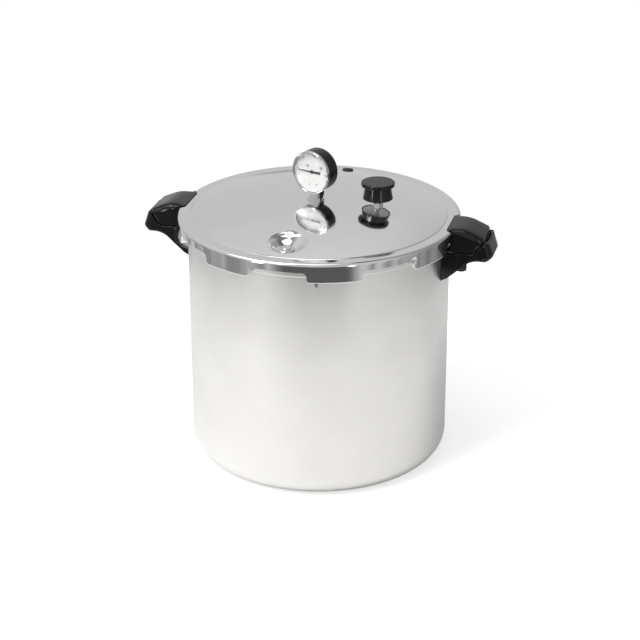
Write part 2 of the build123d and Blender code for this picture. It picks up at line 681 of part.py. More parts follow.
movement += disc(pivot_r, plate_front, plate_front + 2.6, pivot_x, pivot_y)
movement -= disc(arbor_r + 0.1, -5, 5)
dial_screws = [
    disc(1.5, dial_front, dial_front + 0.5, px, py) + disc(0.85, dial_front - dial_thick, dial_front, px, py)
    for px, py in post_at
]

bourdon = tube(
    bourdon_r - bourdon_half_thick, bourdon_r + bourdon_half_thick, bourdon_z - bourdon_half_wide,
    bourdon_z + bourdon_half_wide,
)
bourdon -= slab_between(bourdon_gap_start, bourdon_gap_end)
bourdon += block(
    -socket_half, socket_half, socket_top - 4.5, socket_top, bourdon_z - bourdon_half_wide, stem_split - socket_deep
)


def toothed(count, teeth, start, root_fill):
    """Gear outline with straight-flanked teeth, count teeth from the angle start."""
    pitch = 360.0 / teeth
    pitch_r = gear_module * teeth / 2
    tip_r = pitch_r + 0.85 * gear_module
    root_r = pitch_r - 1.2 * gear_module
    points = []
    for i in range(count):
        middle = start + i * pitch
        for radius, share in ((root_r, -0.3), (tip_r, -0.13), (tip_r, 0.13), (root_r, 0.3)):
            half = pitch * share
            points.append((radius * cos(radians(middle + half)), radius * sin(radians(middle + half))))
    return points + root_fill


gear_low = plate_front + 0.5
gear_high = gear_low + gear_thick
pinion_points = toothed(pinion_teeth, pinion_teeth, sector_place, [])
pinion = extrude(Pos(0, 0, gear_low - 0.2) * make_face(Polyline(*pinion_points, close=True)), amount=gear_thick + 0.4)
pinion += disc(arbor_r, plate_front - movement_sheet, dial_front + 1.6)
# The sector meets the pinion with the gap between two of its teeth on the line of centres.
towards = sector_place + 180.0
sector_pitch = 360.0 / sector_full_teeth
sector_first = towards - (sector_teeth - 2.5) * sector_pitch
sector_points = toothed(sector_teeth, sector_full_teeth, sector_first, [(0.0, 0.0)])
sector = extrude(Pos(pivot_x, pivot_y, gear_low) * make_face(Polyline(*sector_points, close=True)), amount=gear_thick)
sector += disc(2.2, gear_low, gear_high, pivot_x, pivot_y)
sector -= disc(pivot_r + pivot_play, 0, 10, pivot_x, pivot_y)

needle_z = dial_front + 0.8
needle = extrude(
    Pos(0, 0, needle_z)
    * make_face(
        Polyline(
            (-needle_tip, 0.15), (-1.2, 0.75), (3.0, 0.75), (3.5, 1.1), (needle_tail, 1.3),
            (needle_tail, -1.3), (3.5, -1.1), (3.0, -0.75), (-1.2, -0.75), (-needle_tip, -0.15), close=True,
        )
    ),
    amount=0.4,
)
needle += disc(2.0, needle_z - 0.2, needle_z + 0.9)
needle -= disc(arbor_r, 0, 30)

# ---- files ----------------------------------------------------------------------------------------------
write("pot_body", pot)
for side, piece in zip(("right", "left"), both_sides(bracket)):
    write(f"body_bracket_{side}", piece)
for side, piece in zip(("right", "left"), both_sides(handle)):
    write(f"body_handle_{side}", piece)
write("body_handle_screws", *both_sides(body_screw))
write("body_handle_nuts", *both_sides(body_nut))
write("lock_keeper", keeper)
write("canning_rack", rack)
write("lid_shell", lid)
write("sealing_ring", sealing_ring)
for side, piece in zip(("right", "left"), both_sides(lid_bracket)):
    write(f"lid_bracket_{side}", piece)
for side, piece in zip(("right", "left"), both_sides(lid_handle)):
    write(f"lid_handle_{side}", piece)
write("lid_handle_screws", *both_sides(lid_screw))
write("overpressure_plug", plug)
write("vent_pipe", vent_pipe)
write("vent_pipe_nut", vent_nut)
write("regulator_cap", cap)
write("regulator_weight", weight)
write("lock_bushing", lock_place * bushing)
write("lock_nut", lock_place * lock_nut)
write("lock_pin", lock_place * pin)
write("lock_pin_seal", lock_place * lock_seal)
write("gauge_stem", stem)
write("gauge_stem_nut", stem_nut)
for name, piece in (
    ("gauge_case", case), ("gauge_bezel", bezel), ("gauge_lens", lens), ("gauge_dial", dial),
    ("gauge_movement_plate", movement), ("gauge_bourdon_tube", bourdon), ("gauge_sector_gear", sector),
    ("gauge_pinion", pinion), ("gauge_needle", needle),
):
    write(name, gauge_place * piece)
write("gauge_dial_screws", *(gauge_place * s for s in dial_screws))
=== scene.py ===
import json
import math

import bpy
import numpy as np
from mathutils import Matrix, Vector


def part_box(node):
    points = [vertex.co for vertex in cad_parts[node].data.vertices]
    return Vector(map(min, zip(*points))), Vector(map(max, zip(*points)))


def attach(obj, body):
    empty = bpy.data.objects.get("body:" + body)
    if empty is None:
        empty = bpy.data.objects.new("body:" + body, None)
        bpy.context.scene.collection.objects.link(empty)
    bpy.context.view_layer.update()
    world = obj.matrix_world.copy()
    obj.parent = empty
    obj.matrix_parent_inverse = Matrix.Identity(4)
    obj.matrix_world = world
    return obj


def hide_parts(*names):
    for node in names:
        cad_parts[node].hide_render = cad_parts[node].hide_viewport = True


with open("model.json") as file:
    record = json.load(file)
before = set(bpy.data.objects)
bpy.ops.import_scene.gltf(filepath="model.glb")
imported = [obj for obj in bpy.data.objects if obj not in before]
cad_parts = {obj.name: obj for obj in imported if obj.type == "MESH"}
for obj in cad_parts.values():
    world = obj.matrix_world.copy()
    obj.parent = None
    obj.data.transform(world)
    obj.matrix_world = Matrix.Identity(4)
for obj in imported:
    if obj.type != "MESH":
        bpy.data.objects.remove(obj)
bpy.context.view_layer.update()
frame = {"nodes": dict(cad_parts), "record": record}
nodes = frame["nodes"]
record = frame["record"]
scene = bpy.context.scene
MM = 0.001
TURN = 2 * math.pi

# ---- sizes, read from the CAD boxes where a box gives them; the rest are offsets in metres ------
lid_low, lid_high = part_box("lid_shell")
lid_r = float(lid_high[0])
lip_low = float(lid_low[2])
dome_top = float(lid_high[2])
rim_z = float(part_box("pot_body")[1][2])
flat_z = rim_z + 7 * MM            # flat edge of the lid's top
skirt_in = lid_r - 2.5 * MM
pot_lug_r = skirt_in - 0.9 * MM
bead_r = pot_lug_r - 4.3 * MM
pot_r = bead_r - 4.5 * MM
lip_r = bead_r + 0.6 * MM
bead_low = rim_z - 12.5 * MM
window_top = lip_low + 12 * MM
crease_r = lid_r - 14.7 * MM
dome_rise = dome_top - flat_z
dome_r = (crease_r ** 2 + dome_rise ** 2) / (2 * dome_rise)
seam_z = lip_low - 3 * MM
seam_r = lid_r + 22.3 * MM
seam_slope = 1.15
lock_low, lock_high = (np.array(v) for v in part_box("lock_bushing"))
lock_at = (lock_low + lock_high) / 2
cup_floor = float(lock_high[2]) - 1.5 * MM
lug_turn = -2.0                    # degrees that the lugs' pattern is turned off the handles' line


# ---- numpy surfaces ---------------------------------------------------------------------------
def rounded(corners, steps=5):
    """Closed outline of (x, y, radius) corners. One with a radius becomes the arc tangent to its sides."""
    pts = np.array([c[:2] for c in corners], float)
    radii = np.array([c[2] if len(c) > 2 else 0.0 for c in corners])
    to_last = np.roll(pts, 1, 0) - pts
    to_next = np.roll(pts, -1, 0) - pts
    len_last = np.linalg.norm(to_last, axis=1)
    len_next = np.linalg.norm(to_next, axis=1)
    a = to_last / len_last[:, None]
    b = to_next / len_next[:, None]
    half = np.arccos(np.clip((a * b).sum(1), -1, 1)) / 2
    cut = np.minimum(radii / np.tan(half), 0.48 * np.minimum(len_last, len_next))
    out = []
    for p, va, vb, c, h in zip(pts, a, b, cut, half):
        if c < 1e-9:
            out.append(p[None])
            continue
        r = c * math.tan(h)
        bis = (va + vb) / np.linalg.norm(va + vb)
        centre = p + bis * r / math.sin(h)
        start = p + va * c - centre
        end = p + vb * c - centre
        swing = math.pi - 2 * h
        t = np.linspace(0, 1, steps + 1)[:, None]
        out.append(centre + (np.sin((1 - t) * swing) * start + np.sin(t * swing) * end) / math.sin(swing))
    return np.concatenate(out)


def refine(outline, step):
    """The same closed outline with extra points, so that no side is longer than step."""
    nxt = np.roll(outline, -1, 0)
    counts = np.maximum(1, np.ceil(np.linalg.norm(nxt - outline, axis=1) / step).astype(int))
    which = np.repeat(np.arange(len(outline)), counts)
    first = np.repeat(np.cumsum(counts) - counts, counts)
    share = ((np.arange(counts.sum()) - first) / counts[which])[:, None]
    return outline[which] * (1 - share) + nxt[which] * share


def grid_faces(rows, cols, wrap_rows=False):
    """Quads between rows of cols points. Each row is a closed ring, and the rows close up where asked."""
    i, j = np.meshgrid(np.arange(rows if wrap_rows else rows - 1), np.arange(cols), indexing="ij")
    i2, j2 = (i + 1) % rows, (j + 1) % cols
    return np.stack([i * cols + j, i2 * cols + j, i2 * cols + j2, i * cols + j2], -1).reshape(-1, 4)


def lathe(profile, angles=96, shape=None):
    """Surface of revolution about Z of (radius, height) points: x = r cos a, y = r sin a.

    A profile that starts and ends on the axis is closed by a pole at each end, any other is a closed loop.
    shape(r, z, a) may change the radii, heights and angles of the grid."""
    pts = np.asarray(profile, float)
    poled = pts[0, 0] < 1e-9
    ring = pts[1:-1] if poled else pts
    a = np.arange(angles) * TURN / angles if np.isscalar(angles) else np.asarray(angles)
    r, z, a = np.broadcast_arrays(ring[:, :1], ring[:, 1:], a[None])
    if shape:
        r, z, a = shape(r.copy(), z.copy(), a.copy())
    v = np.stack([r * np.cos(a), r * np.sin(a), z], -1).reshape(-1, 3)
    rows, cols = r.shape
    faces = grid_faces(rows, cols, not poled).tolist()
    if poled:
        v = np.vstack([v, [0, 0, pts[0, 1]], [0, 0, pts[-1, 1]]])
        j = np.arange(cols)
        k = (j + 1) % cols
        first, last = len(v) - 2, len(v) - 1
        faces += np.stack([j, k, np.full(cols, first)], -1).tolist()
        base = (rows - 1) * cols
        faces += np.stack([base + k, base + j, np.full(cols, last)], -1).tolist()
    return v, faces


def quarter(distance, radius):
    """Gap that a rounded edge leaves at a distance d in from it: r - sqrt(r^2 - (r - d)^2)."""
    return radius - np.sqrt(np.maximum(radius ** 2 - (radius - distance) ** 2, 0))


def slab(outline, half, edge, place=None, corner=None, weight=None):
    """Prism across Y from a closed (x, z) outline, its two side faces rounded off by edge.

    Near a side face the outline is drawn in by the gap of a rounded edge at that depth, times a weight for
    each of its points. corner = (end, radius) rounds the outer end seen from above, and place(x, y, z) moves
    the finished points."""
    low, high = half if isinstance(half, tuple) else (-half, half)
    t = np.linspace(0, math.pi / 2, 8)
    start = low + edge * (1 - np.cos(t))
    stop = high - edge * (1 - np.cos(t))[::-1]
    inner = np.linspace(start[-1], stop[0], 4)[1:-1]
    if corner:
        bend = np.linspace(0, math.pi / 2, 9)[1:-1]
        side = (high - corner[1]) + corner[1] * np.sin(bend)
        inner = np.unique(np.concatenate([inner, side, -side]))
        inner = inner[(inner > start[-1] + 1e-4) & (inner < stop[0] - 1e-4)]
    ys = np.concatenate([start, inner, stop])
    draw = quarter(np.minimum(np.minimum(ys - low, high - ys), edge), edge)
    tangent = np.roll(outline, -1, 0) - np.roll(outline, 1, 0)
    tangent /= np.maximum(np.linalg.norm(tangent, axis=1), 1e-9)[:, None]
    area = (outline[:, 0] * np.roll(outline[:, 1], -1) - np.roll(outline[:, 0], -1) * outline[:, 1]).sum()
    inward = np.stack([-tangent[:, 1], tangent[:, 0]], -1) * np.sign(area)
    if weight is not None:
        inward = inward * weight(outline[:, 0], outline[:, 1])[:, None]
    at = outline[None] + inward[None] * draw[:, None, None]
    x, z = at[..., 0], at[..., 1]
    y = np.broadcast_to(ys[:, None], x.shape)
    if corner:
        end, radius = corner
        back = quarter(np.clip(high - np.abs(y), 0, radius), radius)
        root = end - radius - 5 * MM
        x = np.where(x > root, root + (x - root) * (end - back - root) / (end - root), x)
    if place:
        x, y, z = place(x, y, z)
    v = np.stack([x, y, z], -1).reshape(-1, 3)
    rows, cols = x.shape
    faces = grid_faces(rows, cols).tolist()
    faces.append(list(range(cols)))
    faces.append(list(range((rows - 1) * cols, rows * cols))[::-1])
    return v, faces


def join(*parts):
    """Several (points, faces) put into one list of each."""
    points, faces, base = [], [], 0
    for v, f in parts:
        points.append(v)
        faces += [[i + base for i in face] for face in f]
        base += len(v)
    return np.vstack(points), faces


def moved(part, matrix):
    """A (points, faces) pair moved by a 4x4 matrix."""
    m = np.array(matrix)
    return part[0] @ m[:3, :3].T + m[:3, 3], part[1]


def piece(name, part, slot, body, replaced=(), sharp=32.0):
    """Mesh object from (points, faces), facing outwards, shaded smooth with edges kept above the angle sharp.

    The large flat ends of slabs, which have many corners, are shaded flat."""
    v, faces = part
    mesh = bpy.data.meshes.new(name)
    mesh.from_pydata(v.tolist(), [], faces)
    mesh.calc_loop_triangles()
    tri = np.empty(len(mesh.loop_triangles) * 3, int)
    mesh.loop_triangles.foreach_get("vertices", tri)
    p = v[tri.reshape(-1, 3)]
    if np.einsum("ij,ij->i", p[:, 0], np.cross(p[:, 1], p[:, 2])).sum() < 0:
        mesh.flip_normals()
    mesh.set_sharp_from_angle(angle=math.radians(sharp))
    mesh.polygons.foreach_set("use_smooth", np.array([len(face) < 12 for face in faces]))
    mesh.materials.append(finishes[slot])
    mesh.update()
    obj = bpy.data.objects.new(name, mesh)
    bpy.context.collection.objects.link(obj)
    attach(obj, body)
    if replaced:
        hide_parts(*replaced)
    return obj


# ---- shader helpers -----------------------------------------------------------------------------
def node(tree, kind, inputs=None, **props):
    """Adds a node, sets its properties, and sets or links its inputs."""
    n = tree.nodes.new(kind)
    for key, value in props.items():
        setattr(n, key, value)
    for key, value in (inputs or {}).items():
        if isinstance(value, bpy.types.NodeSocket):
            tree.links.new(value, n.inputs[key])
        else:
            n.inputs[key].default_value = value
    return n


def maths(tree, operation, *values):
    """One Math node's output."""
    return node(tree, "ShaderNodeMath", dict(enumerate(values)), operation=operation).outputs[0]


def split(tree, at):
    """The x, y and z of a coordinate."""
    return node(tree, "ShaderNodeSeparateXYZ", {0: at}).outputs


def noise(tree, at, scale, detail, roughness):
    """Value of a noise texture read at a coordinate."""
    inputs = {"Vector": at, "Scale": scale, "Detail": detail, "Roughness": roughness}
    return node(tree, "ShaderNodeTexNoise", inputs).outputs[0]


def ramped(tree, value, low, high, start=0.0, end=1.0):
    """Value mapped straight from low...high to start...end, and held beyond."""
    return node(tree, "ShaderNodeMapRange", {0: value, 1: low, 2: high, 3: start, 4: end}).outputs[0]


def mixed(tree, share, first, second, blend="MIX"):
    """Colour mixed from first to second by share."""
    inputs = {0: share, 6: first, 7: second}
    return node(tree, "ShaderNodeMix", inputs, data_type="RGBA", blend_type=blend).outputs[2]


FINISH_IN = (
    ("Color", "NodeSocketColor", (0.8, 0.8, 0.8, 1)), ("Worn Color", "NodeSocketColor", (0.7, 0.7, 0.7, 1)),
    ("Rough Low", "NodeSocketFloat", 0.3), ("Rough High", "NodeSocketFloat", 0.4),
    ("Scale", "NodeSocketFloat", 60.0), ("Grain", "NodeSocketFloat", 0.5),
)
FINISH_OUT = (("Color", "NodeSocketColor"), ("Roughness", "NodeSocketFloat"), ("Height", "NodeSocketFloat"))


def finish_group(name, grain_at, fine, slow):
    """Surface finish: slow patches and fine grain change colour and roughness, the grain gives the height.

    grain_at(tree, at) makes the grain's coordinate from the object's. fine and slow are the detail and the
    roughness of the grain's noise and of the patches' noise."""
    tree = bpy.data.node_groups.new(name, "ShaderNodeTree")
    for label, kind, default in FINISH_IN:
        tree.interface.new_socket(label, in_out="INPUT", socket_type=kind).default_value = default
    for label, kind in FINISH_OUT:
        tree.interface.new_socket(label, in_out="OUTPUT", socket_type=kind)
    given = tree.nodes.new("NodeGroupInput").outputs
    result = tree.nodes.new("NodeGroupOutput").inputs
    at = node(tree, "ShaderNodeTexCoord").outputs["Object"]
    grain = noise(tree, grain_at(tree, at), 1.0, *fine)
    patch = noise(tree, at, given["Scale"], *slow)
    even = ramped(tree, maths(tree, "MULTIPLY_ADD", grain, given["Grain"], patch), 0.45, 1.05)
    rough = node(tree, "ShaderNodeMix", {0: even, 2: given["Rough Low"], 3: given["Rough High"]}).outputs[0]
    tree.links.new(mixed(tree, even, given["Color"], given["Worn Color"]), result["Color"])
    tree.links.new(rough, result["Roughness"])
    tree.links.new(grain, result["Height"])
    return tree


def straight(stretch):
    """Grain along the axes: the coordinate times stretch."""
    return lambda tree, at: node(tree, "ShaderNodeMapping", {"Vector": at, "Scale": stretch}).outputs[0]


def turned(rings, lines):
    """Grain of a turned part, drawn out round Z: fine lines in radius times rings and in height times lines.

    The angle a is used as 1.3 sin a and 1.3 cos a, so that the pattern has no seam."""
    def grain_at(tree, at):
        x, y, z = split(tree, at)
        around = maths(tree, "ARCTAN2", y, x)
        square = maths(tree, "ADD", maths(tree, "MULTIPLY", x, x), maths(tree, "MULTIPLY", y, y))
        cosine = maths(tree, "MULTIPLY", maths(tree, "COSINE", around), 1.3)
        return node(tree, "ShaderNodeCombineXYZ", {
            0: maths(tree, "MULTIPLY", maths(tree, "SINE", around), 1.3),
            1: maths(tree, "MULTIPLY_ADD", maths(tree, "SQRT", square), rings, cosine),
            2: maths(tree, "MULTIPLY", z, lines),
        }).outputs[0]
    return grain_at


PLAIN = finish_group("finish_plain", straight((900.0, 900.0, 900.0)), (4.0, 0.65), (5.0, 0.6))
BRUSHED = finish_group("finish_brushed", straight((60.0, 2200.0, 2200.0)), (4.0, 0.65), (5.0, 0.6))
TURNED_WALL = finish_group("finish_turned_wall", turned(0.0, 2600.0), (6.0, 0.7), (4.0, 0.55))
TURNED_TOP = finish_group("finish_turned_top", turned(1500.0, 0.0), (6.0, 0.7), (4.0, 0.55))


def material(name, group, colour, worn, rough, scale, grain, bump, depth, metallic=0.0, ior=1.5):
    """Principled material whose colour, roughness and bump come from one finish group. depth is in mm."""
    mat = bpy.data.materials.new(name)
    mat.use_nodes = True
    tree = mat.node_tree
    p = tree.nodes["Principled BSDF"]
    g = node(tree, "ShaderNodeGroup", node_tree=group)
    given = {
        "Color": (*colour, 1), "Worn Color": (*worn, 1), "Rough Low": rough[0], "Rough High": rough[1],
        "Scale": scale, "Grain": grain,
    }
    for label, value in given.items():
        g.inputs[label].default_value = value
    relief = {"Height": g.outputs["Height"], "Strength": bump, "Distance": depth * MM}
    tree.links.new(g.outputs["Color"], p.inputs["Base Color"])
    tree.links.new(g.outputs["Roughness"], p.inputs["Roughness"])
    tree.links.new(node(tree, "ShaderNodeBump", relief).outputs["Normal"], p.inputs["Normal"])
    p.inputs["Metallic"].default_value = metallic
    p.inputs["IOR"].default_value = ior
    return mat


# Slot: finish group, colour, worn colour, lowest and highest roughness, the patches' scale, the grain's
# share, the bump's strength and its depth in mm, how metallic it is and the index of refraction.
FINISHES = {
    "pot_aluminium": (
        TURNED_WALL, (0.93, 0.92, 0.90), (0.88, 0.87, 0.85), (0.30, 0.40), 18, 0.4, 0.25, 0.03, 1.0),
    "lid_polished": (
        TURNED_TOP, (0.83, 0.83, 0.83), (0.79, 0.79, 0.79), (0.07, 0.13), 14, 0.3, 0.06, 0.01, 1.0),
    "bracket_aluminium": (
        BRUSHED, (0.78, 0.78, 0.77), (0.66, 0.66, 0.65), (0.24, 0.38), 70, 0.5, 0.2, 0.04, 1.0),
    "rack_aluminium": (
        PLAIN, (0.74, 0.74, 0.73), (0.62, 0.62, 0.61), (0.32, 0.48), 50, 0.5, 0.2, 0.05, 1.0),
    "black_phenolic": (
        PLAIN, (0.005, 0.005, 0.005), (0.010, 0.010, 0.010), (0.05, 0.09), 80, 0.4, 0.04, 0.02, 0.0, 1.42),
    "black_rubber": (
        PLAIN, (0.018, 0.018, 0.018), (0.032, 0.032, 0.031), (0.55, 0.72), 90, 0.5, 0.3, 0.06),
    "plated_steel": (
        BRUSHED, (0.62, 0.62, 0.60), (0.50, 0.50, 0.48), (0.25, 0.4), 90, 0.5, 0.15, 0.04, 1.0),
    "bright_chrome": (
        PLAIN, (0.80, 0.80, 0.81), (0.70, 0.70, 0.71), (0.06, 0.14), 80, 0.4, 0.04, 0.02, 1.0),
    "gauge_black": (
        PLAIN, (0.006, 0.006, 0.006), (0.011, 0.011, 0.012), (0.14, 0.22), 110, 0.5, 0.10, 0.03, 0.0, 1.45),
    "gauge_brass": (
        BRUSHED, (0.60, 0.42, 0.16), (0.50, 0.34, 0.12), (0.25, 0.4), 120, 0.5, 0.15, 0.03, 1.0),
    "dial_white": (
        PLAIN, (0.82, 0.82, 0.80), (0.78, 0.78, 0.76), (0.45, 0.6), 60, 0.3, 0.05, 0.02),
    "needle_black": (
        PLAIN, (0.010, 0.010, 0.010), (0.02, 0.02, 0.02), (0.4, 0.55), 120, 0.4, 0.05, 0.02),
    "clear_glass": (
        PLAIN, (0.97, 0.98, 0.98), (0.94, 0.95, 0.95), (0.01, 0.03), 40, 0.2, 0.01, 0.01),
}
finishes = {slot: material(slot, *values) for slot, values in FINISHES.items()}


def stamped_mark(mat, direction, height, half):
    """Small dark triangle of painted shade on the wall below the lid's front lug, point down, half high above
    and below its middle.

    A point u along the wall from the middle and v above it is inside where abs(u) is under (v + half) / 2 and
    v is under half. direction is in degrees round Z."""
    tree = mat.node_tree
    colour = tree.nodes["Principled BSDF"].inputs["Base Color"]
    x, y, z = split(tree, node(tree, "ShaderNodeTexCoord").outputs["Object"])
    angle = maths(tree, "SUBTRACT", maths(tree, "ARCTAN2", y, x), math.radians(direction))
    across = maths(tree, "ABSOLUTE", maths(tree, "MULTIPLY", angle, pot_r))
    up = maths(tree, "SUBTRACT", z, height)
    sides = maths(tree, "SUBTRACT", maths(tree, "MULTIPLY_ADD", up, 0.5, half / 2), across)
    inside = maths(tree, "MINIMUM", sides, maths(tree, "SUBTRACT", half, up))
    mask = ramped(tree, inside, 0.0, 0.5 * MM, 0.0, 0.8)
    # painted shade: the wall's colour is darkened towards (0.16, 0.15, 0.15) inside the triangle
    tree.links.new(mixed(tree, mask, colour.links[0].from_socket, (0.16, 0.15, 0.15, 1)), colour)


def let_light_through(mat):
    """Clear glass. Shadow rays pass it unbent, so that what lies behind it is lit."""
    tree = mat.node_tree
    p = tree.nodes["Principled BSDF"]
    p.inputs["Transmission Weight"].default_value = 1.0
    clear = node(tree, "ShaderNodeBsdfTransparent", {"Color": (0.97, 0.97, 0.97, 1)}).outputs[0]
    path = node(tree, "ShaderNodeLightPath")
    mix = node(tree, "ShaderNodeMixShader", {0: path.outputs["Is Shadow Ray"], 1: p.outputs[0], 2: clear})
    tree.links.new(mix.outputs[0], tree.nodes["Material Output"].inputs["Surface"])


shade_mark_angle = -76.6                 # the painted shade triangle's direction in degrees
shade_mark_z = rim_z - 24 * MM
shade_mark_half = 3.2 * MM
# painted shade: a small dark triangle on the pot's wall below the lid's front lug
stamped_mark(finishes["pot_aluminium"], shade_mark_angle, shade_mark_z, shade_mark_half)
let_light_through(finishes["clear_glass"])


# ---- pot ------------------------------------------------------------------------------------------
def steps_at(middles, half_width, spread=0.12, count=5):
    """Angles packed closely about both ends of features half_width to each side of middles, in degrees."""
    ends = np.concatenate([np.asarray(middles) - half_width, np.asarray(middles) + half_width])
    return (ends[:, None] + np.linspace(-spread, spread, count)[None]).ravel()


def columns(base, *extra):
    """Sorted angles in radians from an even base step and extra angles, all in degrees."""
    a = np.concatenate([np.arange(0, 360, base), *extra]) % 360
    a = np.unique(np.round(a, 4))
    gap = np.diff(a, append=a[0] + 360)
    return np.radians(a[gap > 0.004])


def degrees_off(angle, middles):
    """Degrees from each angle to the nearest of the middles."""
    return np.abs((angle[..., None] - middles + 180) % 360 - 180).min(-1)


lug_middles = lug_turn + 22.5 + 45.0 * np.arange(8)
window_middles = lug_turn + 45.0 * np.arange(8)
lug_half = 10.75                   # half widths of the pot's lugs and of the lid's windows, in degrees
window_half = 11.8
wall = 3 * MM                      # thickness of the pot's wall, and of the lid
floor_thick = 4 * MM
corner_r = 25 * MM
pot_profile = rounded([
    (0, 0), (pot_r, 0, corner_r), (pot_r, bead_low, 0.8 * MM), (bead_r, bead_low, 1.2 * MM),
    (bead_r, rim_z, 1.2 * MM), (pot_r - wall, rim_z, 0.6 * MM), (pot_r - wall, floor_thick, corner_r - wall),
    (0, floor_thick),
], 9)


def pot_lugs(r, z, a):
    """Band points between its two edges move out by the lug height inside each lug."""
    lug = np.clip((lug_half + 0.08 - degrees_off(np.degrees(a), lug_middles)) / 0.16, 0, 1)
    on_band = (r > pot_r + 1.5 * MM) & (z < rim_z - 1.3 * MM)
    return np.where(on_band, r + (pot_lug_r - bead_r) * lug, r), z, a


pot = lathe(pot_profile, columns(2.0, steps_at(lug_middles, lug_half)), pot_lugs)
piece("pot", pot, "pot_aluminium", "pot", ("pot_body",))


# ---- lid --------------------------------------------------------------------------------------------
def dome(r, drop=0.0):
    """Height of the domed top: a sphere of radius dome_r through top and crease, or the one drop below it."""
    return dome_top - dome_r + np.sqrt((dome_r - drop) ** 2 - r ** 2)


def smooth_min(a, b, k):
    """The lower of a and b, rounded over a width k where they cross."""
    h = np.clip(0.5 + 0.5 * (b - a) / k, 0, 1)
    return b * (1 - h) + a * h - k * h * (1 - h)


def spaced(start, end, step):
    """Evenly spaced values from start to end, both included."""
    return np.linspace(start, end, max(2, int(round(abs(end - start) / step)) + 1))


r_in, r_out = crease_r - 52 * MM, crease_r - 1.4 * MM
top_r = np.concatenate([spaced(0, r_in, 6 * MM), spaced(r_in, r_out, 1.25 * MM)[1:]])
top = np.stack([top_r, dome(top_r)], -1)
shoulder = 4 * MM
t = np.linspace(0, math.pi / 2, 9)
edge = np.stack([lid_r - shoulder * (1 - np.sin(t)), flat_z - shoulder * (1 - np.cos(t))], -1)
crease = np.array([
    (crease_r - 0.8 * MM, dome(crease_r - 0.8 * MM) - 0.12 * MM), (crease_r - 0.3 * MM, flat_z - 0.38 * MM),
    (crease_r + 0.2 * MM, flat_z - 0.42 * MM), (crease_r + 0.8 * MM, flat_z - 0.2 * MM),
    (crease_r + 1.6 * MM, flat_z), (crease_r + 4 * MM, flat_z), (crease_r + 7 * MM, flat_z),
])
skirt_z = spaced(flat_z - shoulder, lip_low + 0.5 * MM, 0.8 * MM)[1:]
skirt = np.stack([np.full_like(skirt_z, lid_r), skirt_z], -1)
lip = np.array([
    (lid_r - 0.15 * MM, lip_low + 0.15 * MM), (lid_r - 0.5 * MM, lip_low), (lip_r + 0.5 * MM, lip_low),
    (lip_r + 0.15 * MM, lip_low + 0.15 * MM), (lip_r, lip_low + 0.5 * MM), (lip_r, lip_low + 3 * MM),
    (skirt_in, lip_low + 3 * MM),
])
under_z = np.array([(skirt_in, window_top + 2 * MM), (skirt_in, flat_z - wall)])
under_r = np.concatenate([spaced(lid_r - 16.9 * MM, r_in, 2.6 * MM), spaced(r_in, 0, 10 * MM)[1:]])
under = np.stack([under_r, dome(under_r, wall)], -1)
flat_under = np.array([(lid_r - 16.7 * MM, flat_z - wall)])
lid_profile = np.vstack([top, crease, edge, skirt, lip, under_z, flat_under, under])
on_top = np.arange(len(lid_profile)) < len(top)
on_skirt = np.zeros(len(lid_profile), bool)
on_skirt[len(top) + len(crease) + len(edge):][:len(skirt) + len(lip)] = True
on_under = np.arange(len(lid_profile)) >= len(lid_profile) - len(under)


def cup(rho):
    """Height of the stamped dish at a distance rho from the lock's middle, before it meets the dome."""
    knots = np.array([0, 11.2, 12.8, 16.6, 18.6, 21.0, 23.5, 25.6, 28.0, 40.0]) * MM
    heights = np.array([0, 0, 0.35, 2.9, 4.6, 5.9, 7.1, 9.0, 12.5, 40.0]) * MM
    return cup_floor + np.interp(rho, knots, heights)


window_corner = 6 * MM
lug_corner = 3.5 * MM
dimple_angles = (-35.7, 144.3)     # the stop dimples, in degrees
dimple_r = 4.25 * MM
per_degree = math.radians(1) * lid_r


def lid_shape(r, z, a):
    """Windows cut the skirt from below, the lock's dish and the stop dimples are pressed into it."""
    deg = np.degrees(a)
    off = degrees_off(deg, window_middles)
    inside = np.clip((window_half + 0.05 - off) / 0.1, 0, 1)
    depth = np.clip((window_half - off) * per_degree, 0, window_corner)
    low = lip_low + (window_top - quarter(depth, window_corner) - lip_low) * inside
    beside = np.clip((off - window_half) * per_degree, 0, lug_corner)
    low = low + (1 - inside) * quarter(beside, lug_corner)
    top_of = flat_z - shoulder
    sk = on_skirt_grid & (z < top_of)
    lips = sk & (r < lid_r - 0.01 * MM)
    z2 = np.where(sk, low + (z - lip_low) * (top_of - low) / (top_of - lip_low), z)
    z2 = np.where(lips, low + (z - lip_low) * (1 - 0.98 * inside), z2)
    r2 = np.where(lips & (r < skirt_in), r + (skirt_in - r) * inside, r)
    x, y = r * np.cos(a), r * np.sin(a)
    rho = np.hypot(x - lock_at[0], y - lock_at[1])
    near = rho < 40 * MM
    z2 = np.where(on_top_grid & near, smooth_min(z, cup(rho), 1.6 * MM), z2)
    z2 = np.where(on_under_grid & near, smooth_min(z, cup(rho) - wall, 2.0 * MM), z2)
    for at in dimple_angles:
        across = ((deg - at + 180) % 360 - 180) * per_degree
        far = np.hypot(across, z2 - (window_top - 0.3 * MM))
        press = 1.0 * MM * np.clip(1 - (far / dimple_r) ** 2, 0, 1)
        r2 = np.where(on_skirt_grid & ~lips, r2 - press, r2)
    return r2, z2, a


lock_angle = math.degrees(math.atan2(lock_at[1], lock_at[0]))
near_dimple = np.arange(-1.6, 1.61, 0.2)
lid_columns = columns(
    1.5, steps_at(window_middles, window_half, 0.05, 2), steps_at(window_middles, window_half - 0.4, 0.3, 3),
    steps_at(window_middles, window_half - 1.3, 0.6, 4), steps_at(window_middles, window_half + 0.7, 0.6, 6),
    np.arange(-13, 13.01, 0.4) + lock_angle, *(near_dimple + at for at in dimple_angles),
)
grid_shape = (len(lid_profile) - 2, len(lid_columns))
on_top_grid, on_skirt_grid, on_under_grid = (
    np.broadcast_to(mask[1:-1, None], grid_shape) for mask in (on_top, on_skirt, on_under)
)
piece("lid", lathe(lid_profile, lid_columns, lid_shape), "lid_polished", "lid", ("lid_shell",), 35)

